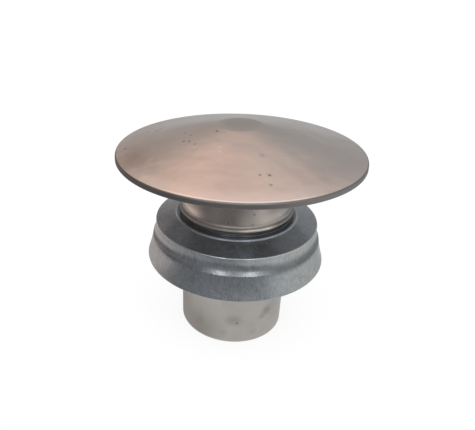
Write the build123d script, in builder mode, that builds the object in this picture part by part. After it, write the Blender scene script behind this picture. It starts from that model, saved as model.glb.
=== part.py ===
"""Flue cowl for a 150 mm flue: a spun rain hat on three folded legs, a beaded flue tube,
and a galvanised casing cover held between the tube's beads, with clips for the outer casing.

Millimetres. +Z is up and the front is -Y. The origin is the centre of the tube's lower edge.
An azimuth is counted from the front towards +X.
"""
from build123d import *
import math
import os

# Sheet thicknesses
TUBE_SHEET = 0.8
HAT_SHEET = 0.9
COVER_SHEET = 0.8
LEG_SHEET = 1.5
CLIP_SHEET = 1.2

# Flue tube: one straight length with two rolled beads, which hold the casing cover
TUBE_RADIUS = 75.0
TUBE_TOP = 225.0
BEAD_REACH = 3.8
BEAD_RADIUS = 3.0
BEAD_ROOT = 4.0
UPPER_BEAD_Z = 183.8

# Rain hat, outer surface from the apex to the turned-in hem
APEX_RADIUS = 28.1
APEX_Z = 297.7
APEX_EDGE = 18.0
HAT_RIM_RADIUS = 161.7
HAT_RIM_Z = 265.0
HAT_RIM_EDGE = 2.2
HAT_LIP_RADIUS = 162.2
HAT_LIP_Z = 258.0
HAT_HEM = 3.2
HAT_HEM_EDGE = 1.4

# Casing cover, outer surface from the collar round the tube to the skirt's hem
COLLAR_GAP = 0.35
COLLAR_TOP = 177.0
COLLAR_ROOT = 0.6
SHELF_Z = 175.2
CREST_RADIUS = 83.0
CREST_EDGE = 0.9
STEP_FOOT_RADIUS = 84.6
STEP_FOOT_Z = 173.0
STEP_FOOT_EDGE = 1.2
COVER_EDGE_RADIUS = 112.0
COVER_EDGE_Z = 165.4
COVER_EDGE = 1.8
BAND_FOOT_Z = 158.0
CREASE_RADIUS = 116.5
CREASE_Z = 142.8
CREASE_EDGE = 1.6
SKIRT_BOW = 0.6
HEM_RADIUS = 124.8
HEM_Z = 110.4
COVER_HEM = 2.4
COVER_FOLD = 1.2

# Hat legs: feet welded inside the tube, heads welded under the hat's cone
LEG_COUNT = 3
LEG_AZIMUTH = 16.0
LEG_WIDTH = 25.0
LEG_FOOT_Z = 188.6
LEG_BEND_Z = 232.0
LEG_HEAD_RADIUS = 104.0
LEG_TIP_RADIUS = 134.0
LEG_EDGE = 5.0

# Casing clips: welded under the cover's cone, and turned down into a 200 mm outer casing
CLIP_COUNT = 3
CLIP_AZIMUTH = 76.0
CLIP_WIDTH = 22.0
CLIP_ROOT_RADIUS = 88.0
CLIP_FACE_RADIUS = 99.4
CLIP_EDGE = 3.0
CLIP_LEAD_Z = 134.0
CLIP_LEAD_IN = 2.6
CLIP_FOOT_Z = 128.0

# Half the arc that each strap is cut from
STRAP_SPREAD = 20.0

os.makedirs("parts", exist_ok=True)


def close_sheet(sheet, side):
    """Closes a sheet's section: the line drawn so far is one face, and the other is sheet away."""
    offset(amount=sheet, side=side, closed=True)


def draw_tube_line(bead_z, start, end):
    """Draws the tube's outer face between two heights, with one rolled bead between wide root blends."""
    slope = math.acos((root_line - bead_line) / (BEAD_RADIUS + BEAD_ROOT))
    flank = bead_line + BEAD_RADIUS * math.cos(slope)
    flank_rise = BEAD_RADIUS * math.sin(slope)
    Line((TUBE_RADIUS, start), (TUBE_RADIUS, bead_z - bead_rise))
    TangentArc((TUBE_RADIUS, bead_z - bead_rise), (flank, bead_z - flank_rise), tangent=(0, 1))
    TangentArc(
        (flank, bead_z - flank_rise), (flank, bead_z + flank_rise), tangent=(math.sin(slope), math.cos(slope))
    )
    TangentArc(
        (flank, bead_z + flank_rise), (TUBE_RADIUS, bead_z + bead_rise), tangent=(-math.sin(slope), math.cos(slope))
    )
    Line((TUBE_RADIUS, bead_z + bead_rise), (TUBE_RADIUS, end))


def strap_plane(azimuth):
    """Upright plane through the axis, at the start of a strap's arc."""
    return Plane.XZ.rotated((0, 0, azimuth - 90 - STRAP_SPREAD))


def cut_strap(azimuth, width):
    """Turns the section drawn so far through the strap's arc, and trims it to an even width."""
    revolve(axis=Axis.Z, revolution_arc=2 * STRAP_SPREAD)
    with Locations(Rotation(0, 0, azimuth - 90)):
        Box(2 * HAT_RIM_RADIUS, width, 2 * APEX_Z, mode=Mode.INTERSECT)


# Flue tube. A bead is an arc round bead_line, between root blends round root_line. The fold under
# the cover's collar rests in the lower bead's root blend, which sets that bead's height.
bead_line = TUBE_RADIUS + BEAD_REACH - BEAD_RADIUS
root_line = TUBE_RADIUS + BEAD_ROOT
bead_rise = math.sqrt((BEAD_RADIUS + BEAD_ROOT) ** 2 - (root_line - bead_line) ** 2)
fold_radius = COLLAR_ROOT + COVER_SHEET
fold_line = TUBE_RADIUS + COLLAR_GAP + fold_radius
fold_z = SHELF_Z - COVER_SHEET + fold_radius
fold_drop = math.sqrt((BEAD_ROOT - fold_radius) ** 2 - (root_line - fold_line) ** 2)
lower_bead_z = fold_z + fold_drop - bead_rise
between_beads = (lower_bead_z + UPPER_BEAD_Z) / 2

with BuildPart() as flue_tube:
    with BuildSketch(Plane.XZ):
        with BuildLine():
            draw_tube_line(lower_bead_z, 0.0, between_beads)
            draw_tube_line(UPPER_BEAD_Z, between_beads, TUBE_TOP)
            close_sheet(TUBE_SHEET, Side.LEFT)
        make_face()
    revolve(axis=Axis.Z)
flue_tube.part.label = "flue_tube"
export_step(flue_tube.part, "parts/flue_tube.step")

# Rain hat
with BuildPart() as hat:
    with BuildSketch(Plane.XZ):
        with BuildLine():
            FilletPolyline(
                (0.0, APEX_Z),
                (APEX_RADIUS, APEX_Z),
                (HAT_RIM_RADIUS, HAT_RIM_Z),
                (HAT_LIP_RADIUS, HAT_LIP_Z),
                (HAT_LIP_RADIUS - HAT_HEM, HAT_LIP_Z),
                radius=(APEX_EDGE, HAT_RIM_EDGE, HAT_HEM_EDGE),
            )
            close_sheet(HAT_SHEET, Side.RIGHT)
        make_face()
    revolve(axis=Axis.Z)
hat.part.label = "hat"
export_step(hat.part, "parts/hat.step")

# Casing cover
collar_radius = TUBE_RADIUS + COLLAR_GAP + COVER_SHEET
skirt_middle = ((CREASE_RADIUS + HEM_RADIUS) / 2 - SKIRT_BOW, (CREASE_Z + HEM_Z) / 2)

with BuildPart() as casing_cover:
    with BuildSketch(Plane.XZ):
        with BuildLine() as cover_line:
            crown = FilletPolyline(
                (collar_radius, COLLAR_TOP),
                (collar_radius, SHELF_Z),
                (CREST_RADIUS, SHELF_Z),
                (STEP_FOOT_RADIUS, STEP_FOOT_Z),
                (COVER_EDGE_RADIUS, COVER_EDGE_Z),
                (COVER_EDGE_RADIUS, BAND_FOOT_Z),
                radius=(COLLAR_ROOT, CREST_EDGE, STEP_FOOT_EDGE, COVER_EDGE),
            )
            cove = TangentArc(crown @ 1, (CREASE_RADIUS, CREASE_Z), tangent=(0, -1))
            skirt = ThreePointArc(cove @ 1, skirt_middle, (HEM_RADIUS, HEM_Z))
            Line(skirt @ 1, (HEM_RADIUS - COVER_HEM, HEM_Z))
            crease = cover_line.vertices().sort_by_distance((CREASE_RADIUS, CREASE_Z))[0]
            fillet(crease, radius=CREASE_EDGE)
            hem_fold = cover_line.vertices().sort_by_distance((HEM_RADIUS, HEM_Z))[0]
            fillet(hem_fold, radius=COVER_FOLD)
            close_sheet(COVER_SHEET, Side.LEFT)
        make_face()
    revolve(axis=Axis.Z)
casing_cover.part.label = "casing_cover"
export_step(casing_cover.part, "parts/casing_cover.step")

# Hat legs
hat_slope = (APEX_Z - HAT_RIM_Z) / (HAT_RIM_RADIUS - APEX_RADIUS)
leg_depth = (HAT_SHEET + LEG_SHEET) * math.hypot(1, hat_slope)
leg_radius = TUBE_RADIUS - TUBE_SHEET


def leg_underside(radius):
    """Height of a leg's lower face where the leg lies against the hat."""
    return APEX_Z - (radius - APEX_RADIUS) * hat_slope - leg_depth


for number in range(LEG_COUNT):
    azimuth = LEG_AZIMUTH + number * 360 / LEG_COUNT
    with BuildPart() as hat_leg:
        with BuildSketch(strap_plane(azimuth)):
            with BuildLine():
                FilletPolyline(
                    (leg_radius, LEG_FOOT_Z),
                    (leg_radius, LEG_BEND_Z),
                    (LEG_HEAD_RADIUS, leg_underside(LEG_HEAD_RADIUS)),
                    (LEG_TIP_RADIUS, leg_underside(LEG_TIP_RADIUS)),
                    radius=LEG_EDGE,
                )
                close_sheet(LEG_SHEET, Side.LEFT)
            make_face()
        cut_strap(azimuth, LEG_WIDTH)
    hat_leg.part.label = f"hat_leg_{number + 1}"
    export_step(hat_leg.part, f"parts/hat_leg_{number + 1}.step")

# Casing clips
cone_slope = (STEP_FOOT_Z - COVER_EDGE_Z) / (COVER_EDGE_RADIUS - STEP_FOOT_RADIUS)
cone_depth = COVER_SHEET * math.hypot(1, cone_slope)


def cover_underside(radius):
    """Height of the cone's lower face."""
    return STEP_FOOT_Z - (radius - STEP_FOOT_RADIUS) * cone_slope - cone_depth


for number in range(CLIP_COUNT):
    azimuth = CLIP_AZIMUTH + number * 360 / CLIP_COUNT
    with BuildPart() as casing_clip:
        with BuildSketch(strap_plane(azimuth)):
            with BuildLine():
                FilletPolyline(
                    (CLIP_ROOT_RADIUS, cover_underside(CLIP_ROOT_RADIUS)),
                    (CLIP_FACE_RADIUS, cover_underside(CLIP_FACE_RADIUS)),
                    (CLIP_FACE_RADIUS, CLIP_LEAD_Z),
                    (CLIP_FACE_RADIUS - CLIP_LEAD_IN, CLIP_FOOT_Z),
                    radius=CLIP_EDGE,
                )
                close_sheet(CLIP_SHEET, Side.RIGHT)
            make_face()
        cut_strap(azimuth, CLIP_WIDTH)
    casing_clip.part.label = f"casing_clip_{number + 1}"
    export_step(casing_clip.part, f"parts/casing_clip_{number + 1}.step")
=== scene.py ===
"""Looks for a flue cowl: a spun hat, a rolled flue tube and a galvanised casing cover.

Blender's lengths are metres, in the frame of the CAD model: +Z is up and the front is -Y. Sizes and
places below are millimetres, as the CAD model's are, unless a comment says otherwise. An azimuth is
counted in degrees from the front towards +X, and left and right are as seen from the front. A span
is a pair of values: what it rules starts at the first and is whole at the second. A colour is
linear red, green and blue, with its opacity last where it has one.
"""
import math

import bpy
from mathutils import Matrix, Vector


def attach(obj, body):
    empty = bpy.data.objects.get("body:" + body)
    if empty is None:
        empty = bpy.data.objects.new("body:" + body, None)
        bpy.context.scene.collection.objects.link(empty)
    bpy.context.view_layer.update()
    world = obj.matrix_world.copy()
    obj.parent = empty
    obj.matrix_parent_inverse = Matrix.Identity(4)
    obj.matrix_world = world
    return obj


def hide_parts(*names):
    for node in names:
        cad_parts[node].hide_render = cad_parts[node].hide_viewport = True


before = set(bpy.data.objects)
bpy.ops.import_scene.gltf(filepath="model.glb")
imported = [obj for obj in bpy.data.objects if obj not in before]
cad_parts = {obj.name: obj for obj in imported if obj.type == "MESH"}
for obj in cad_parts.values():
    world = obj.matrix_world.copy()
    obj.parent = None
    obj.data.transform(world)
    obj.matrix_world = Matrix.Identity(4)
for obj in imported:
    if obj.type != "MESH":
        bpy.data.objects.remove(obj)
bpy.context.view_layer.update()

MM = 0.001

# Sheet thicknesses
TUBE_SHEET = 0.8
HAT_SHEET = 0.9
COVER_SHEET = 0.8

# Flue tube
TUBE_RADIUS = 75.0
TUBE_TOP = 225.0
BEAD_REACH = 3.8
BEAD_RADIUS = 3.0
BEAD_ROOT = 4.0
UPPER_BEAD_Z = 183.8

# Rain hat
APEX_RADIUS = 28.1
APEX_Z = 297.7
APEX_EDGE = 18.0
APEX_INSET = 12.0
HAT_RIM_RADIUS = 161.7
HAT_RIM_Z = 265.0
HAT_RIM_EDGE = 2.2
HAT_LIP_RADIUS = 162.2
HAT_LIP_Z = 258.0
HAT_HEM = 3.2
HAT_HEM_EDGE = 1.4
HAT_SLOPE = (APEX_Z - HAT_RIM_Z) / (HAT_RIM_RADIUS - APEX_RADIUS)

# Casing cover
COLLAR_GAP = 0.35
COLLAR_TOP = 177.0
COLLAR_ROOT = 0.6
SHELF_Z = 175.2
CREST_RADIUS = 83.0
CREST_EDGE = 0.9
STEP_FOOT_RADIUS = 84.6
STEP_FOOT_Z = 173.0
STEP_FOOT_EDGE = 1.2
COVER_EDGE_RADIUS = 112.0
COVER_EDGE_Z = 165.4
COVER_EDGE = 1.8
BAND_FOOT_Z = 158.0
COVE_ROUND = 26.5
CREASE_RADIUS = 116.5
CREASE_Z = 142.8
CREASE_EDGE = 1.6
SKIRT_BOW = 0.6
SKIRT_ROUND = 150.0
HEM_RADIUS = 124.8
HEM_Z = 110.4
COVER_HEM = 2.4
COVER_FOLD = 1.2

# Legs, at equal steps round the axis, each with the same weld marks
LEG_COUNT = 3

# How finely the sheets are turned, and the angle in degrees up to which they shade smoothly
AROUND = 256
ARC_STEPS = 6
RING_SPACING = 8.0
RING_BESIDE_ARC = 0.5
SAME_POINT = 0.0001
SMOOTH_ANGLE = 30


# Shaping


def arc_points(before, corner, after, radius):
    """The points of the arc that rounds one corner of a profile."""
    to_before = (before - corner).normalized()
    to_after = (after - corner).normalized()
    half = to_before.angle(to_after) / 2
    middle = corner + (to_before + to_after).normalized() * radius / math.sin(half)
    start = corner + to_before * radius / math.tan(half) - middle
    end = corner + to_after * radius / math.tan(half) - middle
    turn = start.angle(end)
    points = []
    for step in range(ARC_STEPS + 1):
        share = step / ARC_STEPS
        swing = start * math.sin(turn * (1 - share)) + end * math.sin(turn * share)
        points.append(middle + swing / math.sin(turn))
    return points


def draw_profile(corners):
    """A profile's rings, from (radius, height, rounding) corners, with closer rings beside each arc."""
    spots = [Vector(corner[:2]) for corner in corners]
    runs = []
    for index, corner in enumerate(corners):
        if corner[2]:
            runs.append(arc_points(spots[index - 1], spots[index], spots[index + 1], corner[2]))
        else:
            runs.append([spots[index]])
    rings = list(runs[0])
    for run in runs[1:]:
        start, end = rings[-1], run[0]
        length = (end - start).length
        if length > 3 * RING_BESIDE_ARC:
            inside = length - 2 * RING_BESIDE_ARC
            steps = max(1, round(inside / RING_SPACING))
            for step in range(steps + 1):
                rings.append(start.lerp(end, (RING_BESIDE_ARC + inside * step / steps) / length))
        rings += [point for point in run if (point - rings[-1]).length > SAME_POINT]
    return rings


def turn_sheet(name, corners, thickness, closed_top=False):
    """Turns a profile about the upright axis, ring by ring, and gives the sheet its thickness inwards."""
    rings = draw_profile(corners)
    bpy.ops.object.select_all(action="DESELECT")
    bpy.ops.mesh.primitive_circle_add(
        vertices=AROUND,
        radius=rings[0].x * MM,
        fill_type="TRIFAN" if closed_top else "NOTHING",
        location=(0, 0, rings[0].y * MM),
    )
    piece = bpy.context.object
    piece.name = name
    bpy.ops.object.mode_set(mode="EDIT")
    bpy.ops.mesh.select_mode(type="EDGE")
    bpy.ops.mesh.select_all(action="SELECT")
    if closed_top:
        bpy.ops.mesh.region_to_loop()
    for ring, following in zip(rings, rings[1:]):
        drop = (following.y - ring.y) * MM
        bpy.ops.mesh.extrude_edges_move(TRANSFORM_OT_translate={"value": (0, 0, drop)})
        grow = following.x / ring.x
        bpy.ops.transform.resize(value=(grow, grow, 1), center_override=(0, 0, 0))
    bpy.ops.mesh.select_all(action="SELECT")
    bpy.ops.mesh.normals_make_consistent(inside=False)
    bpy.ops.object.mode_set(mode="OBJECT")
    bpy.ops.object.transform_apply(location=True, rotation=True, scale=True)
    wall = piece.modifiers.new("sheet thickness", "SOLIDIFY")
    wall.thickness = thickness * MM
    wall.offset = -1
    wall.use_even_offset = True
    bpy.ops.object.modifier_apply(modifier=wall.name)
    bpy.ops.object.shade_smooth_by_angle(angle=math.radians(SMOOTH_ANGLE))
    return piece


# Nodes


def add_node(tree, kind, values=None, **settings):
    """Adds a node, and sets or links its inputs."""
    made = tree.nodes.new(kind)
    for key, value in settings.items():
        setattr(made, key, value)
    fill_inputs(tree, made, values)
    return made


def fill_inputs(tree, made, values):
    """Sets or links a node's inputs."""
    for socket, value in (values or {}).items():
        if isinstance(value, bpy.types.NodeSocket):
            tree.links.new(value, made.inputs[socket])
        else:
            made.inputs[socket].default_value = value


def maths(tree, operation, first, second=0.0):
    """One sum, and its result."""
    return add_node(tree, "ShaderNodeMath", {0: first, 1: second}, operation=operation).outputs[0]


def times(tree, *values):
    """The product of several values."""
    total = values[0]
    for value in values[1:]:
        total = maths(tree, "MULTIPLY", total, value)
    return total


def add_up(tree, base, *parts):
    """A base and several (value, amount) parts, each value times its amount."""
    total = base
    for value, amount in parts:
        total = maths(tree, "ADD", total, maths(tree, "MULTIPLY", value, amount))
    return total


def minus(tree, first, second):
    """The first value less the second."""
    return maths(tree, "SUBTRACT", first, second)


def larger(tree, first, second):
    """The larger of two values."""
    return maths(tree, "MAXIMUM", first, second)


def how_far(tree, value, centre=0.0):
    """How far a value is from a centre in millimetres, either way."""
    return maths(tree, "ABSOLUTE", minus(tree, value, centre * MM) if centre else value)


def vector_maths(tree, operation, first, second=None, result=0):
    """One sum of vectors, and its result."""
    values = {0: first} if second is None else {0: first, 1: second}
    return add_node(tree, "ShaderNodeVectorMath", values, operation=operation).outputs[result]


def ease(tree, value, span, low=0.0, high=1.0):
    """Goes smoothly from low to high as a value goes along a span."""
    start, end = span
    made = add_node(
        tree,
        "ShaderNodeMapRange",
        {"Value": value, "From Min": start, "From Max": end, "To Min": low, "To Max": high},
        interpolation_type="SMOOTHSTEP",
    )
    return made.outputs["Result"]


def ease_mm(tree, value, span, low=0.0, high=1.0):
    """Goes smoothly from low to high as a place or distance goes along a span in millimetres."""
    return ease(tree, value, (span[0] * MM, span[1] * MM), low, high)


def mix_colour(tree, share, first, second, blend="MIX"):
    """Mixes two colours by share."""
    first, second = (
        tone if isinstance(tone, bpy.types.NodeSocket) else (*tone, 1) for tone in (first, second)
    )
    made = add_node(
        tree, "ShaderNodeMix", {"Factor": share, "A": first, "B": second}, data_type="RGBA", blend_type=blend
    )
    return made.outputs["Result"]


def paint(tree, under, tone, *masks, strength=1.0, blend="MIX"):
    """Paints a tone over what is under it, by the product of its masks and its strength."""
    share = times(tree, *masks)
    if strength != 1.0:
        share = times(tree, share, strength)
    return mix_colour(tree, share, under, tone, blend)


def find_place(tree):
    """A point's place, as a vector and as X, Y and Z."""
    place = add_node(tree, "ShaderNodeTexCoord").outputs["Object"]
    return place, add_node(tree, "ShaderNodeSeparateXYZ", {0: place}).outputs


def flatten(tree, place):
    """A place's vector from the upright axis, without its height."""
    return vector_maths(tree, "MULTIPLY", place, (1, 1, 0))


def length_of(tree, vector):
    """How long a vector is."""
    return vector_maths(tree, "LENGTH", vector, result="Value")


def along(tree, place, azimuth):
    """How far a place lies towards an azimuth."""
    turn = math.radians(azimuth)
    return vector_maths(tree, "DOT_PRODUCT", place, (math.sin(turn), -math.cos(turn), 0), result="Value")


def add_bump(tree, height, strength, depth, normal=None):
    """A bump, with its depth in millimetres, on top of another's normal if that is given."""
    values = {"Height": height, "Strength": strength, "Distance": depth * MM}
    if normal is not None:
        values["Normal"] = normal
    return add_node(tree, "ShaderNodeBump", values).outputs["Normal"]


# Effects that several finishes share

FLOAT = "NodeSocketFloat"
VECTOR = "NodeSocketVector"
NOISE_MIDDLE = 0.5
STREAK_SQUASH = 0.12
MARK_RAGGEDNESS = 0.7


def start_group(name, inputs, outputs):
    """A new shader group with named sockets."""
    tree = bpy.data.node_groups.new(name, "ShaderNodeTree")
    for label, kind, value in inputs:
        tree.interface.new_socket(label, in_out="INPUT", socket_type=kind).default_value = value
    for label, kind in outputs:
        tree.interface.new_socket(label, in_out="OUTPUT", socket_type=kind)
    return tree, tree.nodes.new("NodeGroupInput").outputs, tree.nodes.new("NodeGroupOutput").inputs


def use_group(tree, group, values):
    """Places a group in a material."""
    made = tree.nodes.new("ShaderNodeGroup")
    made.node_tree = group
    fill_inputs(tree, made, values)
    return made.outputs


def make_turned_lines():
    """Fine lines that run round a spun or rolled piece."""
    tree, given, result = start_group(
        "turned lines", [("Fineness", FLOAT, 900.0), ("Wander", FLOAT, 1.5)], [("Lines", FLOAT)]
    )
    place, split = find_place(tree)
    flat = flatten(tree, place)
    way = vector_maths(tree, "NORMALIZE", flat)
    way = add_node(
        tree, "ShaderNodeVectorMath", {0: way, "Scale": given["Wander"]}, operation="SCALE"
    ).outputs[0]
    way = add_node(tree, "ShaderNodeSeparateXYZ", {0: way}).outputs
    across = times(tree, maths(tree, "ADD", length_of(tree, flat), split[2]), given["Fineness"])
    spot = add_node(tree, "ShaderNodeCombineXYZ", {0: way[0], 1: way[1], 2: across}).outputs[0]
    grain = add_node(
        tree, "ShaderNodeTexNoise", {"Vector": spot, "Scale": 1.0, "Detail": 3.0, "Roughness": 0.7}
    )
    tree.links.new(grain.outputs["Fac"], result["Lines"])
    return tree


def make_blotches():
    """Soft stains and handling marks."""
    tree, given, result = start_group(
        "handling blotches",
        [("Size", FLOAT, 20.0), ("Start", FLOAT, 0.5), ("End", FLOAT, 0.7)],
        [("Mask", FLOAT)],
    )
    place = add_node(tree, "ShaderNodeTexCoord").outputs["Object"]
    cloud = add_node(
        tree, "ShaderNodeTexNoise", {"Vector": place, "Scale": given["Size"], "Detail": 5.0, "Roughness": 0.6}
    ).outputs["Fac"]
    tree.links.new(ease(tree, cloud, (given["Start"], given["End"])), result["Mask"])
    return tree


def make_mark():
    """One pit, weld mark, scuff, spot or painted dark reflection, at a place on the piece."""
    tree, given, result = start_group(
        "surface mark",
        [
            ("Centre", VECTOR, (0, 0, 0)),
            ("Half size", VECTOR, (0.001, 0.001, 0.001)),
            ("Softness", FLOAT, 0.4),
        ],
        [("Mask", FLOAT)],
    )
    place = add_node(tree, "ShaderNodeTexCoord").outputs["Object"]
    away = vector_maths(tree, "SUBTRACT", place, given["Centre"])
    away = vector_maths(tree, "DIVIDE", away, given["Half size"])
    ragged = add_node(
        tree, "ShaderNodeTexNoise", {"Vector": away, "Scale": 1.3, "Detail": 2.0}
    ).outputs["Fac"]
    reach = add_up(tree, length_of(tree, away), (minus(tree, ragged, NOISE_MIDDLE), MARK_RAGGEDNESS))
    inner = minus(tree, 1.0, given["Softness"])
    outer = maths(tree, "ADD", 1.0, given["Softness"])
    tree.links.new(ease(tree, reach, (outer, inner)), result["Mask"])
    return tree


def make_spangle():
    """The faint crystals and upright streaks of a galvanised sheet that has been spun."""
    tree, given, result = start_group(
        "zinc spangle",
        [("Crystals", FLOAT, 160.0), ("Streaks", FLOAT, 260.0)],
        [("Crystal", FLOAT), ("Streak", FLOAT)],
    )
    place = add_node(tree, "ShaderNodeTexCoord").outputs["Object"]
    cells = add_node(tree, "ShaderNodeTexVoronoi", {"Vector": place, "Scale": given["Crystals"]})
    tone = add_node(tree, "ShaderNodeSeparateXYZ", {0: cells.outputs["Color"]}).outputs[0]
    tree.links.new(tone, result["Crystal"])
    squashed = vector_maths(tree, "MULTIPLY", place, (1, 1, STREAK_SQUASH))
    streak = add_node(
        tree,
        "ShaderNodeTexNoise",
        {"Vector": squashed, "Scale": given["Streaks"], "Detail": 4.0, "Roughness": 0.75},
    ).outputs["Fac"]
    tree.links.new(streak, result["Streak"])
    return tree


turned_lines = make_turned_lines()
blotches = make_blotches()
surface_mark = make_mark()
zinc_spangle = make_spangle()


def on_hat(azimuth, radius):
    """A place on the hat's upper face."""
    turn = math.radians(azimuth)
    height = APEX_Z - max(0, radius - APEX_RADIUS) * HAT_SLOPE
    return Vector((radius * math.sin(turn), -radius * math.cos(turn), height)) * MM


def on_tube(azimuth, height):
    """A place on the tube's outer face."""
    turn = math.radians(azimuth)
    return Vector((TUBE_RADIUS * math.sin(turn), -TUBE_RADIUS * math.cos(turn), height)) * MM


def at_each_leg(marks):
    """The same marks at every leg."""
    return [
        (azimuth + number * 360 / LEG_COUNT, *rest) for number in range(LEG_COUNT) for azimuth, *rest in marks
    ]


def lay_marks(tree, put, marks):
    """Joins marks into one mask.

    A mark is its azimuth, its radius on the hat or height on the tube, its half size as one number
    or as X, Y and Z, its softness and its strength.
    """
    total = 0.0
    for azimuth, second, half_size, softness, strength in marks:
        sizes = half_size if isinstance(half_size, tuple) else (half_size, half_size, half_size)
        mask = use_group(
            tree,
            surface_mark,
            {"Centre": put(azimuth, second), "Half size": Vector(sizes) * MM, "Softness": softness},
        )["Mask"]
        total = larger(tree, total, times(tree, mask, strength))
    return total


def start_metal(name):
    """A metal's material, with one shader."""
    material = bpy.data.materials.new(name)
    material.use_nodes = True
    tree = material.node_tree
    shader = tree.nodes["Principled BSDF"].inputs
    shader["Metallic"].default_value = 1.0
    return material, tree, shader


# Hat's steel

# a painted warm reflection on the hat's front
HAT_REFLECTION_AZIMUTH = -20.0
HAT_REFLECTION_SPAN = (-30, 130)
HAT_GREY = (0.53, 0.505, 0.485)
HAT_PAINTED_WARM_REFLECTION = (0.605, 0.525, 0.475)
HAT_CLOUD = (0.40, 0.37, 0.35)
HAT_PALE_PATCH = (0.72, 0.66, 0.62)

APEX_TONE = (0.42, 0.375, 0.33)
APEX_BLUR = 10
APEX_WANDER = 12
APEX_HALO_SPAN = (90, 30)

# painted sheen and a painted highlight line on the hat's rim
RIM_PAINTED_SHEEN = (0.84, 0.77, 0.72)
RIM_SHEEN_SPAN = (135, 157)
RIM_PAINTED_GLINT = (0.98, 0.93, 0.89)
RIM_GLINT_RADIUS = 159.0
RIM_GLINT_SPAN = (1.2, 0.5)
RIM_GLINT_FRONT_SPAN = (-125, -150)

# painted shade on the hat's lip and underside
HAT_PAINTED_SHADE = (0.155, 0.15, 0.148)
LIP_SPAN = (HAT_RIM_RADIUS - 1.7, HAT_RIM_RADIUS - 1.0)
UNDERSIDE_SPAN = (APEX_Z - 0.45, APEX_Z - 0.85)
LIP_SHADE = (0.05, 0.048, 0.046)
LIP_SHADE_SPAN = (-80, -140)

HAT_PIT = (0.10, 0.075, 0.06)
HAT_PITS = [
    (-61.0, 78.2, 1.5, 0.5, 0.9),
    (-56.9, 73.7, 1.5, 0.5, 0.9),
    (-47.0, 73.1, 1.4, 0.6, 0.6),
    (-68.3, 66.0, 1.5, 0.6, 0.5),
    (-80.4, 71.0, 1.5, 0.6, 0.5),
    (-49.6, 37.7, 1.7, 0.5, 0.8),
    (-79.4, 148.3, 1.8, 0.5, 0.75),
    (-157.5, 138.0, 2.4, 0.5, 0.7),
    (19.4, 79.3, 3.2, 0.8, 0.22),
]
HAT_WELDS = [
    (12.0, 114.7, 1.7, 0.7, 0.5),
    (17.2, 116.1, 1.9, 0.7, 0.65),
    (15.5, 132.4, 1.8, 0.7, 0.5),
]
HAT_SCUFF = (0.72, 0.68, 0.64)
HAT_SCUFFS = [
    (-17.5, 73.4, (2.6, 1.4, 3.0), 0.5, 0.45),
    (-20.0, 66.0, (1.0, 2.6, 2.0), 0.5, 0.40),
    (-15.0, 79.1, (0.9, 2.6, 2.0), 0.5, 0.35),
]
# a painted dark reflection on the hat's far left
HAT_PAINTED_DARK_REFLECTION = (0.35, 0.28, 0.25)
HAT_DARK_REFLECTION_MARKS = [(-62.0, 141.0, (17, 18, 12), 0.9, 0.32)]
HAT_ROUGHNESS = 0.30


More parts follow.
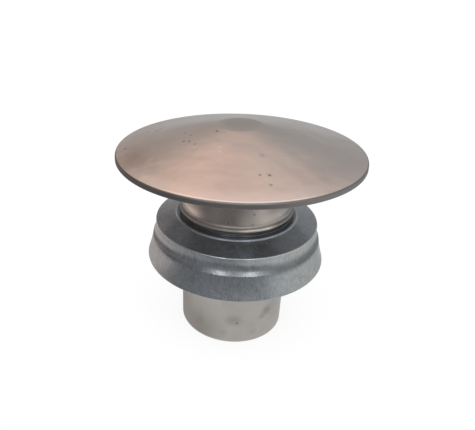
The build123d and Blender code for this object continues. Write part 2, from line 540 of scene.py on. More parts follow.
def make_hat_steel():
    """Satin spun steel, with a painted warm reflection in front, a painted sheen and highlight on the rim, a
    dull lip and underside with painted shade, pits and weld marks.
    """
    material, tree, shader = start_metal("spun hat steel")
    place, split = find_place(tree)
    radius = length_of(tree, flatten(tree, place))
    lines = use_group(tree, turned_lines, {"Fineness": 1400.0, "Wander": 2.0})["Lines"]
    cloud = use_group(tree, blotches, {"Size": 16.0, "Start": 0.35, "End": 0.7})["Mask"]
    patches = use_group(tree, blotches, {"Size": 45.0, "Start": 0.4, "End": 0.65})["Mask"]

    # a painted warm reflection in front and to its left, plain grey behind
    warm_reflection = ease_mm(tree, along(tree, place, HAT_REFLECTION_AZIMUTH), HAT_REFLECTION_SPAN)
    colour = mix_colour(tree, warm_reflection, HAT_GREY, HAT_PAINTED_WARM_REFLECTION)
    colour = paint(tree, colour, HAT_CLOUD, cloud, strength=0.16)
    colour = paint(tree, colour, HAT_PALE_PATCH, patches, strength=0.08)

    # the apex is a little darker, with an uneven edge
    edge = add_up(tree, radius, (cloud, APEX_WANDER * MM))
    apex = ease_mm(tree, edge, (APEX_RADIUS + APEX_BLUR, APEX_RADIUS - APEX_BLUR))
    apex = add_up(tree, ease_mm(tree, radius, APEX_HALO_SPAN, high=0.2), (apex, 0.45))
    colour = paint(tree, colour, APEX_TONE, apex)

    # a painted sheen brightens the rim in front, with a thin painted highlight line just inside the lip
    colour = paint(tree, colour, RIM_PAINTED_SHEEN, ease_mm(tree, radius, RIM_SHEEN_SPAN), warm_reflection, strength=0.35)
    rim_glint = ease_mm(tree, how_far(tree, radius, RIM_GLINT_RADIUS), RIM_GLINT_SPAN)
    colour = paint(tree, colour, RIM_PAINTED_GLINT, rim_glint, ease_mm(tree, split[1], RIM_GLINT_FRONT_SPAN, high=0.6))

    # the lip is duller than the cone and darkened by painted shade, most of all on the left, and so is the
    # underside
    lip = ease_mm(tree, radius, LIP_SPAN)
    beyond_apex = larger(tree, minus(tree, radius, APEX_RADIUS * MM), 0.0)
    above_cone = add_up(tree, split[2], (beyond_apex, HAT_SLOPE))
    underside = ease_mm(tree, above_cone, UNDERSIDE_SPAN)
    dull_and_shaded = larger(tree, times(tree, lip, 0.9), times(tree, underside, 0.3))
    colour = paint(tree, colour, HAT_PAINTED_SHADE, dull_and_shaded)
    colour = paint(tree, colour, LIP_SHADE, lip, ease_mm(tree, split[0], LIP_SHADE_SPAN, high=0.35))

    pits = lay_marks(tree, on_hat, HAT_PITS + at_each_leg(HAT_WELDS))
    colour = paint(tree, colour, HAT_PIT, pits)
    colour = paint(tree, colour, HAT_SCUFF, lay_marks(tree, on_hat, HAT_SCUFFS))
    # a soft painted dark reflection darkens the far left of the cone
    colour = paint(tree, colour, HAT_PAINTED_DARK_REFLECTION, lay_marks(tree, on_hat, HAT_DARK_REFLECTION_MARKS))
    tree.links.new(colour, shader["Base Color"])

    rough = add_up(
        tree,
        HAT_ROUGHNESS,
        (minus(tree, lines, NOISE_MIDDLE), 0.16),
        (cloud, 0.05),
        (larger(tree, pits, dull_and_shaded), 0.15),
    )
    tree.links.new(rough, shader["Roughness"])

    # the cone isn't quite true, and the lines and pits are on top of that
    dents = add_node(
        tree, "ShaderNodeTexNoise", {"Vector": place, "Scale": 24.0, "Detail": 2.0}
    ).outputs["Fac"]
    uneven = add_bump(tree, dents, strength=0.8, depth=2.0)
    height = minus(tree, times(tree, lines, 0.008), pits)
    tree.links.new(add_bump(tree, height, strength=0.5, depth=0.3, normal=uneven), shader["Normal"])
    return material


# Tube's steel

NECK_SPAN = (165, 185)
LOWER_TUBE = (0.425, 0.415, 0.39)
NECK = (0.44, 0.40, 0.37)
TUBE_SMEAR = (0.385, 0.355, 0.33)
TUBE_CLOUD = (0.30, 0.275, 0.255)

TUBE_SPOT = (0.075, 0.068, 0.062)
TUBE_SPOTS = [
    (7.6, 33.8, 1.2, 0.5, 0.85),
    (4.6, 38.5, (9, 9, 7.5), 0.9, 0.28),
    (6.5, 36.5, 4.0, 0.9, 0.30),
    (42.0, 46.0, 7.0, 0.9, 0.34),
    (36.5, 39.0, (5, 5, 4), 0.9, 0.28),
    (26.0, 15.6, 4.0, 0.95, 0.10),
    (-6.4, 15.9, 4.5, 0.95, 0.10),
    (-34.0, 26.0, 5.0, 0.9, 0.12),
    (-7.0, 192.7, 1.3, 0.6, 0.30),
]
TUBE_WELDS = [
    (17.9, 205.7, 1.1, 0.5, 0.8),
    (16.9, 191.4, 1.0, 0.5, 0.6),
]

# painted reflection and painted shade on the neck
NECK_PAINTED_REFLECTION = (0.78, 0.69, 0.63)
NECK_REFLECTION_FOOT_SPAN = (187, 190)
NECK_REFLECTION_TOP_SPAN = (202, 194)
NECK_REFLECTION_LEFT_SPAN = (-42, -62)
NECK_PAINTED_SHADE = (0.16, 0.14, 0.13)
NECK_SHADE_SPAN = (194, 208)
NECK_SIDES_SPAN = (24, 50)

# painted highlight and painted shade at the bead
BEAD_PAINTED_HIGHLIGHT = (0.80, 0.76, 0.70)
BEAD_HIGHLIGHT_SPAN = (4, 2)
BEAD_HIGHLIGHT_LEFT_SPAN = (0, 18)
BEAD_HIGHLIGHT_RIGHT_SPAN = (60, 42)
BEAD_PAINTED_SHADE = (0.12, 0.115, 0.11)
UNDER_BEAD_TOP_SPAN = (182, 180)
UNDER_BEAD_FOOT_SPAN = (170, 174)
UNDER_BEAD_LEFT_SPAN = (0, 30)
BEAD_SHADE_SPAN = (6, 3)
BEAD_SHADE_LEFT_SPAN = (40, 56)
DULL_BEAD_SPAN = (8, 4)

SEAM_SPAN = (1.3, 0.6)
SEAM_HEAT = (0.30, 0.22, 0.16)
SEAM_HEAT_SPAN = (6, 1)
BEHIND_SPAN = (0, 50)
TUBE_ROUGHNESS = 0.36


def make_tube_steel():
    """Rolled steel, bright on the neck and duller below, with painted reflection, highlight and shade on the
    neck and bead, spots and a welded seam behind.
    """
    material, tree, shader = start_metal("rolled tube steel")
    place, split = find_place(tree)
    lines = use_group(tree, turned_lines, {"Fineness": 1100.0, "Wander": 3.0})["Lines"]
    cloud = use_group(tree, blotches, {"Size": 28.0, "Start": 0.4, "End": 0.72})["Mask"]
    smear = use_group(tree, blotches, {"Size": 9.0, "Start": 0.35, "End": 0.65})["Mask"]

    neck = ease_mm(tree, split[2], NECK_SPAN)
    colour = mix_colour(tree, neck, LOWER_TUBE, NECK)
    colour = paint(tree, colour, TUBE_SMEAR, smear, strength=0.5)
    colour = paint(tree, colour, TUBE_CLOUD, cloud, strength=0.20)
    spots = lay_marks(tree, on_tube, TUBE_SPOTS + at_each_leg(TUBE_WELDS))
    colour = paint(tree, colour, TUBE_SPOT, spots)

    # a painted reflection makes the neck paler at its left end, and painted shade darkens it near the hat
    colour = paint(
        tree,
        colour,
        NECK_PAINTED_REFLECTION,
        ease_mm(tree, split[2], NECK_REFLECTION_FOOT_SPAN),
        ease_mm(tree, split[2], NECK_REFLECTION_TOP_SPAN),
        ease_mm(tree, split[0], NECK_REFLECTION_LEFT_SPAN, high=0.5),
    )
    sides = ease_mm(tree, how_far(tree, split[0]), NECK_SIDES_SPAN, high=0.7)
    colour = paint(tree, colour, NECK_PAINTED_SHADE, ease_mm(tree, split[2], NECK_SHADE_SPAN), sides)

    # a painted highlight brightens the bead to the right of its middle, and painted shade lies under it and
    # on its right end
    off_bead = how_far(tree, split[2], UPPER_BEAD_Z)
    colour = paint(
        tree,
        colour,
        BEAD_PAINTED_HIGHLIGHT,
        ease_mm(tree, off_bead, BEAD_HIGHLIGHT_SPAN),
        ease_mm(tree, split[0], BEAD_HIGHLIGHT_LEFT_SPAN, high=0.75),
        ease_mm(tree, split[0], BEAD_HIGHLIGHT_RIGHT_SPAN),
    )
    under_bead_shade = times(
        tree,
        ease_mm(tree, split[2], UNDER_BEAD_TOP_SPAN),
        ease_mm(tree, split[2], UNDER_BEAD_FOOT_SPAN),
        ease_mm(tree, split[0], UNDER_BEAD_LEFT_SPAN, high=0.65),
    )
    right_end_shade = times(
        tree,
        ease_mm(tree, off_bead, BEAD_SHADE_SPAN),
        ease_mm(tree, split[0], BEAD_SHADE_LEFT_SPAN, high=0.45),
    )
    colour = paint(tree, colour, BEAD_PAINTED_SHADE, larger(tree, under_bead_shade, right_end_shade))

    # the welded seam runs up the back
    behind = ease_mm(tree, split[1], BEHIND_SPAN)
    seam = times(tree, ease_mm(tree, how_far(tree, split[0]), SEAM_SPAN), behind)
    heat = ease_mm(tree, how_far(tree, split[0]), SEAM_HEAT_SPAN)
    colour = paint(tree, colour, SEAM_HEAT, heat, behind, strength=0.35)
    tree.links.new(colour, shader["Base Color"])

    # smooth on the neck, but not on its bead
    smooth = minus(tree, neck, ease_mm(tree, off_bead, DULL_BEAD_SPAN, high=2.2))
    rough = add_up(
        tree,
        TUBE_ROUGHNESS,
        (smooth, -0.13),
        (minus(tree, lines, NOISE_MIDDLE), 0.08),
        (cloud, 0.07),
        (spots, 0.2),
    )
    tree.links.new(rough, shader["Roughness"])
    ripple = add_node(
        tree, "ShaderNodeTexWave", {"Vector": place, "Scale": 110.0, "Distortion": 1.0}, bands_direction="Z"
    ).outputs["Fac"]
    height = add_up(tree, times(tree, lines, 0.006), (cloud, 0.03), (seam, maths(tree, "ADD", 0.5, ripple)))
    tree.links.new(add_bump(tree, height, strength=0.5, depth=0.3), shader["Normal"])
    return material


# Cover's galvanised sheet

DARK_CRYSTAL = (0.255, 0.268, 0.276)
PALE_CRYSTAL = (0.325, 0.336, 0.342)
ZINC_CLOUD = (0.29, 0.295, 0.295)
ZINC_STREAK = (0.46, 0.46, 0.45)
ZINC_STREAK_SPAN = (0.38, 0.66)

COVER_TOP_SPAN = (COVER_EDGE_Z - 0.5, COVER_EDGE_Z + 0.5)
BLUER_TOP = (1.03, 1.09, 1.17)
# a painted highlight along the cover's top edge
EDGE_PAINTED_HIGHLIGHT = (0.60, 0.61, 0.62)
EDGE_HIGHLIGHT_Z = COVER_EDGE_Z - 0.6
EDGE_HIGHLIGHT_SPAN = (1.2, 0.4)

COVER_FRONT_AZIMUTH = -10.0
# a painted bluish reflection on the cover's front
FRONT_PAINTED_BLUE_REFLECTION = (0.985, 1.02, 1.06)
FRONT_REFLECTION_SPAN = (50, 105)
# dirt and painted shade in the cove and gutter
COVER_DIRT_AND_PAINTED_SHADE = (0.055, 0.064, 0.073)
COVE_DIRT_AND_SHADE_Z = CREASE_Z + 3.5
COVE_DIRT_AND_SHADE_SPAN = (10, 1)
COVE_CLEAR_FRONT_SPAN = (108, 88)
CLOUD_SPAN = (0.9, 0.1)
GUTTER_SPAN = (CREST_RADIUS - 0.8, CREST_RADIUS - 3.6)
ZINC_METALLIC = 0.92
ZINC_ROUGHNESS = 0.27


def make_galvanised():
    """Dull zinc with fine upright streaks, cleaner on top, with a painted highlight on its top edge, a
    painted bluish reflection in front, and dirt and painted shade in its cove and gutter.
    """
    material, tree, shader = start_metal("galvanised sheet")
    place, split = find_place(tree)
    radius = length_of(tree, flatten(tree, place))
    spangle = use_group(tree, zinc_spangle, {"Crystals": 210.0, "Streaks": 520.0})
    cloud = use_group(tree, blotches, {"Size": 14.0, "Start": 0.35, "End": 0.7})["Mask"]
    fine = use_group(tree, blotches, {"Size": 700.0, "Start": 0.3, "End": 0.7})["Mask"]
    colour = mix_colour(tree, spangle["Crystal"], DARK_CRYSTAL, PALE_CRYSTAL)
    colour = paint(tree, colour, ZINC_CLOUD, cloud, strength=0.5)

    # the top is a cleaner, smoother and bluer grey
    top = ease_mm(tree, split[2], COVER_TOP_SPAN)
    rougher = add_up(tree, 1.0, (top, -0.8))
    streak = ease(tree, spangle["Streak"], ZINC_STREAK_SPAN)
    colour = paint(tree, colour, ZINC_STREAK, streak, rougher, strength=0.42)
    colour = paint(tree, colour, BLUER_TOP, top, blend="MULTIPLY")

    # a painted highlight runs along the edge between the top and the band
    edge_highlight = ease_mm(tree, how_far(tree, split[2], EDGE_HIGHLIGHT_Z), EDGE_HIGHLIGHT_SPAN, high=0.5)
    colour = paint(tree, colour, EDGE_PAINTED_HIGHLIGHT, edge_highlight)

    # the front is a little bluer too, by a painted reflection
    forward = along(tree, place, COVER_FRONT_AZIMUTH)
    colour = paint(tree, colour, FRONT_PAINTED_BLUE_REFLECTION, ease_mm(tree, forward, FRONT_REFLECTION_SPAN), blend="MULTIPLY")

    # dirt and painted shade lie in the cove above the crease, except in front, and in the gutter round the
    # neck
    cove = times(
        tree,
        ease_mm(tree, how_far(tree, split[2], COVE_DIRT_AND_SHADE_Z), COVE_DIRT_AND_SHADE_SPAN),
        ease(tree, cloud, CLOUD_SPAN, low=0.52, high=0.64),
        ease_mm(tree, forward, COVE_CLEAR_FRONT_SPAN, low=0.15),
    )
    gutter = times(tree, top, ease_mm(tree, radius, GUTTER_SPAN, high=0.6))
    colour = paint(tree, colour, COVER_DIRT_AND_PAINTED_SHADE, larger(tree, cove, gutter))
    tree.links.new(colour, shader["Base Color"])

    tree.links.new(add_up(tree, ZINC_METALLIC, (cloud, -0.14)), shader["Metallic"])
    swing = times(tree, minus(tree, spangle["Streak"], NOISE_MIDDLE), rougher)
    tree.links.new(add_up(tree, ZINC_ROUGHNESS, (swing, 0.14)), shader["Roughness"])
    grain = times(tree, add_up(tree, times(tree, spangle["Streak"], 0.5), (fine, 0.2)), rougher)
    tree.links.new(add_bump(tree, grain, strength=0.36, depth=0.2), shader["Normal"])
    return material


# Straps' steel

STRAP_STEEL = (0.52, 0.51, 0.49)
STRAP_CLOUD = (0.36, 0.34, 0.32)
STRAP_ROUGHNESS = 0.30


def make_strap_steel():
    """Plain mill-finish steel for the legs and clips."""
    material, tree, shader = start_metal("mill-finish strap")
    cloud = use_group(tree, blotches, {"Size": 60.0, "Start": 0.4, "End": 0.7})["Mask"]
    lines = use_group(tree, turned_lines, {"Fineness": 300.0, "Wander": 60.0})["Lines"]
    tree.links.new(paint(tree, STRAP_STEEL, STRAP_CLOUD, cloud, strength=0.35), shader["Base Color"])
    tree.links.new(add_up(tree, STRAP_ROUGHNESS, (lines, 0.14)), shader["Roughness"])
    tree.links.new(add_bump(tree, lines, strength=0.2, depth=0.1), shader["Normal"])
    return material


hat_steel = make_hat_steel()
tube_steel = make_tube_steel()
galvanised = make_galvanised()
strap_steel = make_strap_steel()


# Pieces


def finish_piece(piece, material, node):
    """Gives a new piece its material and its body, and puts it in its CAD node's place."""
    piece.data.materials.clear()
    piece.data.materials.append(material)
    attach(piece, "root")
    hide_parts(node)


hat = turn_sheet(
    "hat_spun",
    [
        (APEX_RADIUS - APEX_INSET, APEX_Z, 0),
        (APEX_RADIUS, APEX_Z, APEX_EDGE),
        (HAT_RIM_RADIUS, HAT_RIM_Z, HAT_RIM_EDGE),
        (HAT_LIP_RADIUS, HAT_LIP_Z, HAT_HEM_EDGE),
        (HAT_LIP_RADIUS - HAT_HEM, HAT_LIP_Z, 0),
    ],
    HAT_SHEET,
    closed_top=True,
)
finish_piece(hat, hat_steel, "hat")

# a bead is an arc between wide root blends, and the cover's fold rests in the lower bead's blend
bead_line = TUBE_RADIUS + BEAD_REACH - BEAD_RADIUS
root_line = TUBE_RADIUS + BEAD_ROOT
bead_slope = math.acos((root_line - bead_line) / (BEAD_RADIUS + BEAD_ROOT))
bead_rise = (BEAD_RADIUS + BEAD_ROOT) * math.sin(bead_slope)
fold_radius = COLLAR_ROOT + COVER_SHEET
fold_line = TUBE_RADIUS + COLLAR_GAP + fold_radius
fold_drop = math.sqrt((BEAD_ROOT - fold_radius) ** 2 - (root_line - fold_line) ** 2)
lower_bead_z = SHELF_Z - COVER_SHEET + fold_radius + fold_drop - bead_rise


def bead_corners(height):
    """The corners of a rolled bead on the tube: two roots and the crest's two shoulders."""
    crest = TUBE_RADIUS + BEAD_REACH
    root = bead_rise - BEAD_ROOT * math.tan(bead_slope / 2)
    shoulder = BEAD_RADIUS * math.tan(bead_slope / 2)
    return [
        (TUBE_RADIUS, height - root, BEAD_ROOT),
        (crest, height - shoulder, BEAD_RADIUS),
        (crest, height + shoulder, BEAD_RADIUS),
        (TUBE_RADIUS, height + root, BEAD_ROOT),
    ]


tube = turn_sheet(
    "tube_rolled",
    [
        (TUBE_RADIUS, 0, 0),
        *bead_corners(lower_bead_z),
        *bead_corners(UPPER_BEAD_Z),
        (TUBE_RADIUS, TUBE_TOP, 0),
    ],
    TUBE_SHEET,
)
finish_piece(tube, tube_steel, "flue_tube")

collar_radius = TUBE_RADIUS + COLLAR_GAP + COVER_SHEET
cove_turn = 2 * math.atan((CREASE_RADIUS - COVER_EDGE_RADIUS) / (BAND_FOOT_Z - CREASE_Z))
cove_corner_z = BAND_FOOT_Z - (BAND_FOOT_Z - CREASE_Z) * math.tan(cove_turn / 2) / math.sin(cove_turn)
cover = turn_sheet(
    "casing_cover_spun",
    [
        (collar_radius, COLLAR_TOP, 0),
        (collar_radius, SHELF_Z, COLLAR_ROOT),
        (CREST_RADIUS, SHELF_Z, CREST_EDGE),
        (STEP_FOOT_RADIUS, STEP_FOOT_Z, STEP_FOOT_EDGE),
        (COVER_EDGE_RADIUS, COVER_EDGE_Z, COVER_EDGE),
        (COVER_EDGE_RADIUS, cove_corner_z, COVE_ROUND),
        (CREASE_RADIUS, CREASE_Z, CREASE_EDGE),
        ((CREASE_RADIUS + HEM_RADIUS) / 2 - 2 * SKIRT_BOW, (CREASE_Z + HEM_Z) / 2, SKIRT_ROUND),
        (HEM_RADIUS, HEM_Z, COVER_FOLD),
        (HEM_RADIUS - COVER_HEM, HEM_Z, 0),
    ],
    COVER_SHEET,
)
finish_piece(cover, galvanised, "casing_cover")

for name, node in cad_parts.items():
    if name.startswith(("hat_leg", "casing_clip")):
        node.data.materials.clear()
        node.data.materials.append(strap_steel)


# Floor, backdrop and plain light, in metres

PLAIN_LIGHT = 0.70
FLOOR_COLOUR = (0.9, 0.9, 0.9, 1)
WHITE = (1, 1, 1, 1)
FLOOR_WHITE = 1.15
FLOOR_SHARE = 0.74
FLOOR_RADIUS = 14
FLOOR_DROP = 0.0002
ROUND_STEPS = 96


def seen_rays(tree):
    """1 for the rays that show a background: the camera's, and those that metal and glass send on."""
    rays = tree.nodes.new("ShaderNodeLightPath").outputs
    seen = larger(tree, rays["Is Camera Ray"], rays["Is Glossy Ray"])
    return larger(tree, seen, rays["Is Transmission Ray"])


world = bpy.data.worlds.new("white room")
bpy.context.scene.world = world
world.use_nodes = True
room = world.node_tree
plain = room.nodes["Background"]
plain.inputs["Color"].default_value = WHITE
plain.inputs["Strength"].default_value = PLAIN_LIGHT
white = add_node(room, "ShaderNodeBackground", {"Color": WHITE, "Strength": 1.0})
shown = add_node(room, "ShaderNodeMixShader", {0: seen_rays(room), 1: plain.outputs[0], 2: white.outputs[0]})
room.links.new(shown.outputs[0], room.nodes["World Output"].inputs["Surface"])


def start_paint(piece, name=None):
    """A piece's material without its shader, named after the piece or by the name given."""
    made = bpy.data.materials.new(name or piece.name)
    made.use_nodes = True
    made.node_tree.nodes.remove(made.node_tree.nodes["Principled BSDF"])
    piece.data.materials.append(made)
    return made.node_tree


bpy.ops.object.select_all(action="DESELECT")
bpy.ops.mesh.primitive_circle_add(
    vertices=ROUND_STEPS, radius=FLOOR_RADIUS, fill_type="NGON", location=(0, 0, -FLOOR_DROP)
)
floor = bpy.context.object
floor.name = "floor"
tree = start_paint(floor, "pale floor")
matt = add_node(tree, "ShaderNodeBsdfDiffuse", {"Color": FLOOR_COLOUR})
bright = add_node(tree, "ShaderNodeEmission", {"Color": WHITE, "Strength": FLOOR_WHITE})
share = times(tree, seen_rays(tree), FLOOR_SHARE)
both = add_node(tree, "ShaderNodeMixShader", {0: share, 1: matt.outputs[0], 2: bright.outputs[0]})
tree.links.new(both.outputs[0], tree.nodes["Material Output"].inputs["Surface"])


# Room that only the metal's reflections show, in metres. A way is an azimuth, and the degrees off it
# at which a tone starts and is whole.

ROOM_RADIUS = 3.6
ROOM_MIDDLE_Z = 0.2
ROOM_FLOOR_START = 0.0755
ROOM_FLOOR_Z = 0.001
DOME_RINGS = 64

FLOOR_GREY = (0.60, 0.635, 0.645)
FLOOR_RIGHT = (0.93, 0.94, 0.93)
FLOOR_RIGHT_WAY = (68, 54, 20)
FLOOR_LEFT = (0.95, 0.87, 0.835)
FLOOR_LEFT_WAY = (-118, 65, 22)
FLOOR_BACK = (0.64, 0.65, 0.66)
FLOOR_BACK_WAY = (180, 60, 25)
FLOOR_DARK = (0.275, 0.285, 0.31)
FLOOR_DARK_WAYS = [(-24, 81, 18), (8, 47, 12)]

PALE_RING = (1.22, 1.06, 0.97)
PALE_RING_WAY = (-115, 56, 30)
DARK_RING = (0.16, 0.125, 0.12)
DARK_RING_WAYS = [(-22, 60, 36), (158, 50, 22)]
DARK_RING_SHARE = 0.40
DARK_RING_FRONT_WAY = (-5, 28, 14)
DARK_RING_FRONT_SHARE = 0.34
OUTER_SHADE = (0.17, 0.16, 0.16)
OUTER_SHADE_WAY = (-112, 80, 50)
INNER_RIGHT = (1.15, 1.13, 1.08)
INNER_RIGHT_WAY = (48, 52, 20)
INNER_LEFT = (1.0, 0.95, 0.9)
INNER_LEFT_WAY = (-55, 38, 14)
BROWN_LEFT = (0.62, 0.57, 0.55)
BROWN_LEFT_WAY = (-118, 75, 35)
NEAR_FLOOR = (0.90, 0.90, 0.89)
# the object's own shadow, painted on the near floor at its left
NEAR_LEFT_PAINTED_SHADOW = (0.58, 0.53, 0.51)
NEAR_LEFT_SHADOW_WAY = (-128, 66, 30)
NEAR_RIGHT = (0.78, 0.78, 0.78)
NEAR_RIGHT_WAY = (105, 50, 25)
FOOT_SHADE = (0.48, 0.45, 0.44)
FOOT_SHADE_WAY = (-75, 80, 30)

# How far out on the room's floor each tone lies
RING_SPANS = [(0.37, 0.45), (0.80, 0.55)]
PALE_RING_SPAN = (0.56, 0.50)
OUTER_SPANS = [(0.50, 0.60), (1.4, 1.1)]
INNER_SPAN = (0.46, 0.37)
BROWN_LEFT_SPAN = (0.41, 0.34)
NEAR_SPAN = (0.36, 0.26)
FOOT_SPAN = (0.125, 0.105)

DOME_GREY = (0.58, 0.61, 0.64)
DOME_LEFT = (0.21, 0.185, 0.18)
DOME_LEFT_WAY = (-95, 75, 40)
DOME_RIGHT = (1.0, 1.0, 1.0)
DOME_RIGHT_WAY = (42, 44, 22)
DOME_HIGH = (0.62, 0.59, 0.57)
DOME_BACK_WAY = (180, 48, 28)
DOME_BACK_LEFT_WAY = (-140, 42, 15)
DOME_BACK_RIGHT_WAY = (156, 25, 8)
LOW_BACK = (0.475, 0.465, 0.465)
LOW_BACK_LEFT = (0.51, 0.465, 0.445)
HIGH_BACK = (0.93, 0.72, 0.65)
HIGH_BACK_LEFT = (1.36, 1.03, 0.89)
HIGH_BACK_RIGHT = (1.10, 0.92, 0.86)
OVERHEAD = (1.0, 1.0, 1.0)

# How many degrees up on the dome each tone lies
HORIZON_SPAN = (2, 8)
DOME_HIGH_SPAN = (28, 42)
HIGH_BACK_SPAN = (29, 58)
OVERHEAD_SPAN = (62, 75)


def show_to_metal(card, tree, colour, strength=1.0):
    """Makes a card glow in the metal's reflections alone."""
    glow = add_node(tree, "ShaderNodeEmission", {"Color": colour, "Strength": strength})
    tree.links.new(glow.outputs[0], tree.nodes["Material Output"].inputs["Surface"])
    card.visible_camera = False
    card.visible_diffuse = False
    card.visible_transmission = False
    card.visible_volume_scatter = False
    card.visible_shadow = False


def share_toward(tree, way):
    """Goes from 0 to 1 as a place in the room comes round to a way."""
    azimuth, start, end = way
    place = add_node(tree, "ShaderNodeTexCoord").outputs["Object"]
    level = vector_maths(tree, "NORMALIZE", flatten(tree, place))
    span = (math.cos(math.radians(start)), math.cos(math.radians(end)))
    return ease(tree, along(tree, level, azimuth), span)


def share_toward_any(tree, ways):
    """The largest share of several ways."""
    total = share_toward(tree, ways[0])
    for way in ways[1:]:
        total = larger(tree, total, share_toward(tree, way))
    return total


def floor_tone(tree):
    """The room's floor: dark in front and to its left, light elsewhere, and warm at the left."""
    tone = paint(tree, FLOOR_GREY, FLOOR_RIGHT, share_toward(tree, FLOOR_RIGHT_WAY))
    tone = paint(tree, tone, FLOOR_LEFT, share_toward(tree, FLOOR_LEFT_WAY))
    tone = paint(tree, tone, FLOOR_BACK, share_toward(tree, FLOOR_BACK_WAY))
    return paint(tree, tone, FLOOR_DARK, share_toward_any(tree, FLOOR_DARK_WAYS))


def near_floor_tone(tree):
    """The room's floor close to the object, with the object's shadow painted at its left."""
    tone = paint(tree, NEAR_FLOOR, NEAR_LEFT_PAINTED_SHADOW, share_toward(tree, NEAR_LEFT_SHADOW_WAY))
    return paint(tree, tone, NEAR_RIGHT, share_toward(tree, NEAR_RIGHT_WAY))


def paint_room_floor(tree):
    """The room's floor, with a ring that the neck shows and a pale part that the lower tube shows."""
    place = add_node(tree, "ShaderNodeTexCoord").outputs["Object"]
    reach = length_of(tree, place)
    ring = times(tree, *(ease(tree, reach, span) for span in RING_SPANS))
    outer = times(tree, *(ease(tree, reach, span) for span in OUTER_SPANS))
    inner = ease(tree, reach, INNER_SPAN)
    brown = ease(tree, reach, BROWN_LEFT_SPAN)
    near = ease(tree, reach, NEAR_SPAN)
    foot = ease(tree, reach, FOOT_SPAN)
    pale = ease(tree, reach, PALE_RING_SPAN)
    dark = add_up(
        tree,
        times(tree, share_toward_any(tree, DARK_RING_WAYS), DARK_RING_SHARE),
        (share_toward(tree, DARK_RING_FRONT_WAY), DARK_RING_FRONT_SHARE),
    )
    tone = floor_tone(tree)
    tone = paint(tree, tone, PALE_RING, ring, pale, share_toward(tree, PALE_RING_WAY))
    tone = paint(tree, tone, DARK_RING, ring, dark)
    tone = paint(tree, tone, OUTER_SHADE, outer, share_toward(tree, OUTER_SHADE_WAY), strength=0.85)
    tone = paint(tree, tone, INNER_RIGHT, inner, share_toward(tree, INNER_RIGHT_WAY))
    tone = paint(tree, tone, INNER_LEFT, inner, share_toward(tree, INNER_LEFT_WAY), strength=0.15)
    tone = paint(tree, tone, BROWN_LEFT, brown, share_toward(tree, BROWN_LEFT_WAY))
    tone = paint(tree, tone, near_floor_tone(tree), near)
    return paint(tree, tone, FOOT_SHADE, foot, share_toward(tree, FOOT_SHADE_WAY), strength=0.8)


def paint_room_dome(tree):
    """The room above: brown at the left, white at the right of the front, and warm high up behind."""
    split = find_place(tree)[1]
    rise = maths(tree, "DEGREES", maths(tree, "ARCSINE", maths(tree, "DIVIDE", split[2], ROOM_RADIUS)))
    side = paint(tree, DOME_GREY, DOME_LEFT, share_toward(tree, DOME_LEFT_WAY))
    side = paint(tree, side, DOME_RIGHT, share_toward(tree, DOME_RIGHT_WAY))
    side = paint(tree, side, DOME_HIGH, ease(tree, rise, DOME_HIGH_SPAN))
    back_left = share_toward(tree, DOME_BACK_LEFT_WAY)
    low = mix_colour(tree, back_left, LOW_BACK, LOW_BACK_LEFT)
    high = mix_colour(tree, back_left, HIGH_BACK, HIGH_BACK_LEFT)
    high = paint(tree, high, HIGH_BACK_RIGHT, share_toward(tree, DOME_BACK_RIGHT_WAY))
    back = mix_colour(tree, ease(tree, rise, HIGH_BACK_SPAN), low, high)
    side = paint(tree, side, back, share_toward(tree, DOME_BACK_WAY))
    tone = mix_colour(tree, ease(tree, rise, HORIZON_SPAN), floor_tone(tree), side)
    return paint(tree, tone, OVERHEAD, ease(tree, rise, OVERHEAD_SPAN))


bpy.ops.object.select_all(action="DESELECT")
bpy.ops.mesh.primitive_circle_add(
    vertices=ROUND_STEPS, radius=ROOM_FLOOR_START, fill_type="NOTHING", location=(0, 0, ROOM_FLOOR_Z)
)
room_floor = bpy.context.object
room_floor.name = "room floor"
bpy.ops.object.mode_set(mode="EDIT")
bpy.ops.mesh.select_all(action="SELECT")
bpy.ops.mesh.extrude_edges_move()
spread = ROOM_RADIUS / ROOM_FLOOR_START
bpy.ops.transform.resize(value=(spread, spread, 1), center_override=(0, 0, 0))
bpy.ops.object.mode_set(mode="OBJECT")
bpy.ops.object.transform_apply(location=True, rotation=True, scale=True)
tree = start_paint(room_floor)
show_to_metal(room_floor, tree, paint_room_floor(tree))

bpy.ops.object.select_all(action="DESELECT")
bpy.ops.mesh.primitive_uv_sphere_add(
    segments=ROUND_STEPS, ring_count=DOME_RINGS, radius=ROOM_RADIUS, location=(0, 0, ROOM_MIDDLE_Z)
)
room_dome = bpy.context.object
room_dome.name = "room dome"
tree = start_paint(room_dome)
show_to_metal(room_dome, tree, paint_room_dome(tree))


def facing(azimuth, elevation, distance):
    """The point at a distance from the room's middle."""
    turn, rise = math.radians(azimuth), math.radians(elevation)
    flat = distance * math.cos(rise)
    return Vector((flat * math.sin(turn), -flat * math.cos(turn), ROOM_MIDDLE_Z + distance * math.sin(rise)))


def place_card(name, azimuths, elevations, distance, colour, strength=1.0):
    """A flat card that fills a window of directions, as seen from the room's middle."""
    left, right = azimuths
    low, high = elevations
    bpy.ops.object.select_all(action="DESELECT")
    bpy.ops.mesh.primitive_circle_add(vertices=4, radius=1, fill_type="NGON")
    card = bpy.context.object
    card.name = name
    corners = [(left, low), (right, low), (right, high), (left, high)]
    for vertex, corner in zip(card.data.vertices, corners):
        vertex.co = facing(*corner, distance)
    card.data.update()
    show_to_metal(card, start_paint(card), (*colour, 1), strength)


place_card("brown back card", (-126, -156), (19, 31), 2.6, (0.32, 0.25, 0.228))

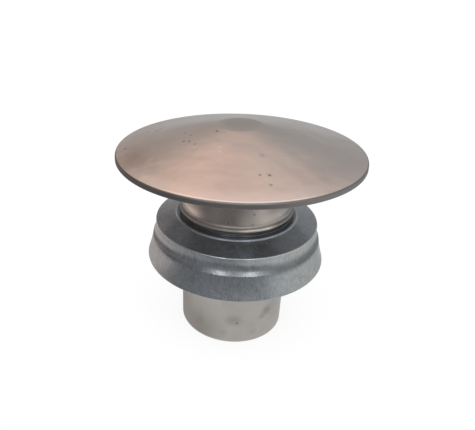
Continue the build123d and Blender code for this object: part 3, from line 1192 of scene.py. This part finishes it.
# windows in front, which show on the bead and the creases
place_card("left window", (-19, -12), (7, 34), 2.2, (1, 1, 1), strength=4.5)
place_card("right window", (17, 27), (7, 34), 2.2, (1, 1, 1), strength=3.5)


# Lamp, in metres

LAMP_PLACE = (0.0, -0.55, 1.5)
LAMP_AIM = (0.0, 0.0, 0.2)
LAMP_WIDTH = 1.6
LAMP_DEPTH = 1.2
LAMP_POWER = 6.0

lamp = bpy.data.lights.new("soft lamp above", "AREA")
lamp.shape = "RECTANGLE"
lamp.size = LAMP_WIDTH
lamp.size_y = LAMP_DEPTH
lamp.energy = LAMP_POWER
lamp_holder = bpy.data.objects.new("soft lamp above", lamp)
bpy.context.scene.collection.objects.link(lamp_holder)
lamp_holder.location = LAMP_PLACE
lamp_holder.rotation_euler = (Vector(LAMP_AIM) - Vector(LAMP_PLACE)).to_track_quat("-Z", "Y").to_euler()


# Camera, in metres and degrees. The photo is cut off-centre, which the shift follows.

CAMERA_DISTANCE = 0.6740
CAMERA_ELEVATION = 28.29
CAMERA_PAN = 5.55
CAMERA_ROLL = 3.04
CAMERA_SHIFT = 0.101
AIM_Z = 0.1621
LENS = 36.0
SENSOR_WIDTH = 36.0

camera_data = bpy.data.cameras.new("camera")
camera_data.lens = LENS
camera_data.sensor_width = SENSOR_WIDTH
camera_data.shift_x = CAMERA_SHIFT
camera_data.clip_start = 0.01
camera_data.clip_end = 100
camera = bpy.data.objects.new("camera", camera_data)
bpy.context.scene.collection.objects.link(camera)
rise = math.radians(CAMERA_ELEVATION)
stand = Matrix.Translation(
    (0, -CAMERA_DISTANCE * math.cos(rise), AIM_Z + CAMERA_DISTANCE * math.sin(rise))
)
tilt = Matrix.Rotation(math.radians(90 - CAMERA_ELEVATION), 4, "X")
pan = Matrix.Rotation(math.radians(CAMERA_PAN), 4, "Y")
roll = Matrix.Rotation(math.radians(CAMERA_ROLL), 4, "Z")
camera.matrix_world = stand @ tilt @ pan @ roll
bpy.context.scene.camera = camera

bpy.context.scene.view_settings.view_transform = "Standard"
